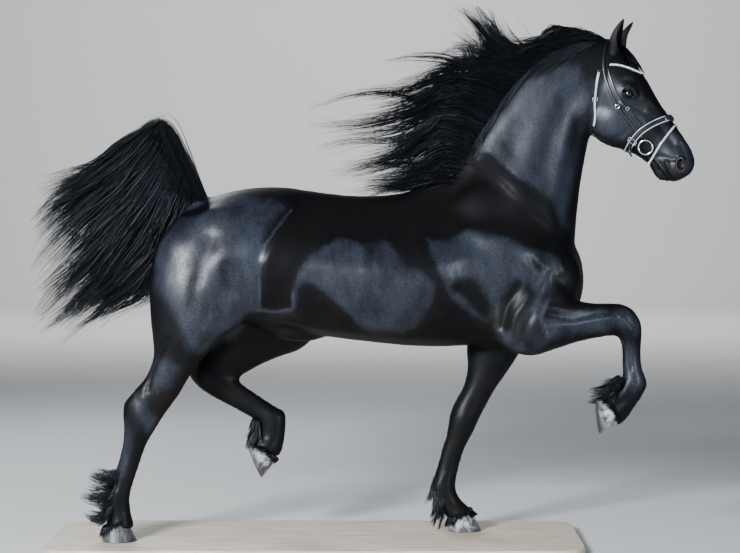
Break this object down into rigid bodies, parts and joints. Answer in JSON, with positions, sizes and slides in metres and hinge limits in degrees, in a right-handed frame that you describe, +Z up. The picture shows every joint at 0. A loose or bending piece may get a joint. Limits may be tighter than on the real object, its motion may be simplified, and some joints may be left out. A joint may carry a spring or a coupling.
{
  "type": "friesian horse",
  "caption": "Life-size still model of a black Friesian horse trotting in a bridle, with flowing mane, tail and leg feathers, on a flat display plate.",
  "frame": {"origin": "centre of the underside of the display plate's and the horse's common bounding box, on the floor", "axes": "+X towards the horse's head, along its longest extent; +Z up; the horse's right side faces -Y"},
  "size_m": [2.9357, 0.8, 2.388],
  "materials": {
    "coat": "short glossy black coat with a blue-grey sheen",
    "hair": "long wavy black hair",
    "eye": "dark brown glossy eyeball",
    "horn": "grey hoof horn with fine growth rings",
    "bridle_leather": "black patent leather with pale piping",
    "browband_beads": "row of pale beads",
    "steel": "polished steel",
    "stand_plate": "sand-coloured painted board"
  },
  "bodies": {
    "root": {"torso": "coat", "neck": "coat", "head": "coat", "ear_right": "coat", "ear_left": "coat", "eye_right": "eye", "eye_left": "eye", "tail": "hair", "hind_right_upper": "coat", "hind_right_lower": "coat", "hind_left_upper": "coat", "hind_left_lower": "coat", "fore_left_upper": "coat", "fore_left_lower": "coat", "fore_right_upper": "coat", "fore_right_lower": "coat", "hoof_hind_right": "horn", "hoof_fore_left": "horn", "hoof_fore_right": "horn", "hoof_hind_left": "horn", "bit_right": "steel", "bit_left": "steel", "noseband": "bridle_leather", "flash_strap": "bridle_leather", "headpiece": "bridle_leather", "throatlatch": "bridle_leather", "hanger_right": "bridle_leather", "hanger_left": "bridle_leather", "browband": "browband_beads", "stand_base": "stand_plate"}
  },
  "joints": []
}
